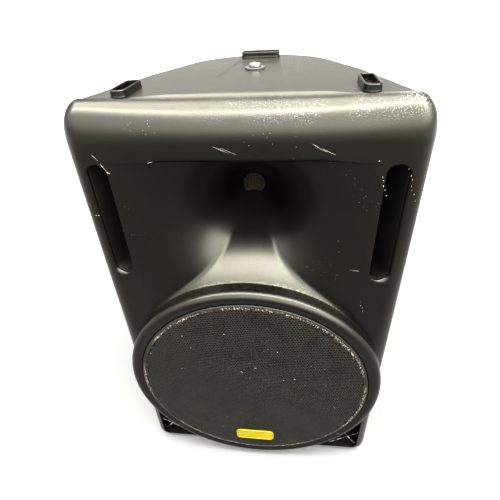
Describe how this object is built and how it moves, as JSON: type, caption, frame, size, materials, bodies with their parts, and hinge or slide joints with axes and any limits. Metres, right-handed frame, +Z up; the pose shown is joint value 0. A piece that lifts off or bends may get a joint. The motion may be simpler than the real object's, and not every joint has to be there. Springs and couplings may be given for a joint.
{
  "type": "powered loudspeaker",
  "caption": "Powered party loudspeaker: moulded cabinet with a flared horn over a large round woofer grille, slot ports, stacking rings, side hand holds and a rear amplifier panel.",
  "frame": {"origin": "centre of the bounding box, at the height of the surface the rubber feet stand on", "axes": "+Z up, +X to the right as seen from the front, +Y from the front to the back"},
  "size_m": [0.4314, 0.3664, 0.6907],
  "materials": {
    "cabinet_plastic": "moulded, fine grain, semi-matt",
    "dark_plastic": "moulded, matt",
    "gloss_black": "glossy moulded",
    "rubber": "matt",
    "grille_steel": "powder coat, slightly worn",
    "badge_yellow": "plain coloured badge",
    "bright_steel": "zinc plated",
    "black_steel": "black powder coat",
    "ferrite": "dull sintered",
    "cone_paper": "pressed pulp, dull",
    "treated_cloth": "resin treated cloth",
    "copper": "enamelled winding",
    "aluminium_black": "anodised extrusion",
    "board_green": "solder resist",
    "winding_tape": "taped winding",
    "lamp_green": "clear tinted",
    "lamp_red": "clear tinted",
    "lead_red": "insulated wire"
  },
  "bodies": {
    "cabinet": {"amp_board": "board_green", "amp_panel": "black_steel", "clip_lamp": "lamp_red", "filter_capacitor": "gloss_black", "foot_front_left": "rubber", "foot_front_right": "rubber", "foot_rear_left": "rubber", "foot_rear_right": "rubber", "front_shell": "cabinet_plastic", "grille_badge": "badge_yellow", "handle_cup_left": "dark_plastic", "handle_cup_right": "dark_plastic", "heat_sink": "aluminium_black", "hf_driver_cover": "dark_plastic", "hf_driver_flange": "black_steel", "hf_driver_magnet": "ferrite", "hf_lead": "lead_red", "line_input_socket": "gloss_black", "link_output_socket": "gloss_black", "mains_inlet": "dark_plastic", "mains_transformer": "winding_tape", "mic_input_socket": "gloss_black", "panel_screw_1": "bright_steel", "panel_screw_2": "bright_steel", "panel_screw_3": "bright_steel", "panel_screw_4": "bright_steel", "panel_screw_5": "bright_steel", "panel_screw_6": "bright_steel", "pole_socket": "dark_plastic", "port_duct_left": "dark_plastic", "port_duct_right": "dark_plastic", "power_lamp": "lamp_green", "power_switch_bezel": "gloss_black", "rear_shell": "cabinet_plastic", "rigging_bolt": "bright_steel", "rigging_insert": "black_steel", "spider": "treated_cloth", "stacking_ring_left": "gloss_black", "stacking_ring_rear": "gloss_black", "stacking_ring_right": "gloss_black", "throat_screen": "bright_steel", "woofer_back_plate": "black_steel", "woofer_basket": "black_steel", "woofer_gasket": "rubber", "woofer_grille": "grille_steel", "woofer_lead": "lead_red", "woofer_magnet": "ferrite", "woofer_surround": "treated_cloth", "woofer_top_plate": "black_steel"},
    "woofer_moving_parts": {"woofer_cone": "cone_paper", "dust_cap": "cone_paper", "voice_coil": "copper"},
    "level_knob": {"level_knob": "dark_plastic"},
    "bass_knob": {"bass_knob": "dark_plastic"},
    "treble_knob": {"treble_knob": "dark_plastic"},
    "power_rocker": {"power_switch": "gloss_black"},
    "release_tab": {"socket_release_tab": "bright_steel"},
    "low_cut_button": {"low_cut_button": "gloss_black"},
    "fuse_drawer": {"fuse_drawer": "dark_plastic"}
  },
  "joints": [
    {"name": "woofer_travel", "type": "slide", "parent": "cabinet", "child": "woofer_moving_parts", "axis": [0, 1, 0], "range_m": [-0.006, 0.006], "stiffness_N_per_m": 5000, "deforming": ["woofer_surround", "spider"]},
    {"name": "level_turn", "type": "hinge", "parent": "cabinet", "child": "level_knob", "pos_m": [-0.058, 0.1548, 0.398], "axis": [0, 1, 0], "range_deg": [-150, 150]},
    {"name": "bass_turn", "type": "hinge", "parent": "cabinet", "child": "bass_knob", "pos_m": [-0.02, 0.1548, 0.398], "axis": [0, 1, 0], "range_deg": [-150, 150]},
    {"name": "treble_turn", "type": "hinge", "parent": "cabinet", "child": "treble_knob", "pos_m": [0.018, 0.1548, 0.398], "axis": [0, 1, 0], "range_deg": [-150, 150]},
    {"name": "power_rock", "type": "hinge", "parent": "cabinet", "child": "power_rocker", "pos_m": [0.055, 0.1448, 0.292], "axis": [1, 0, 0], "range_deg": [0, 18]},
    {"name": "release_press", "type": "slide", "parent": "cabinet", "child": "release_tab", "axis": [0, -1, 0], "range_m": [0, 0.0016], "stiffness_N_per_m": 600},
    {"name": "low_cut_press", "type": "slide", "parent": "cabinet", "child": "low_cut_button", "axis": [0, -1, 0], "range_m": [0, 0.003], "stiffness_N_per_m": 500},
    {"name": "fuse_drawer_pull", "type": "slide", "parent": "cabinet", "child": "fuse_drawer", "axis": [0, 1, 0], "range_m": [0, 0.01]}
  ]
}
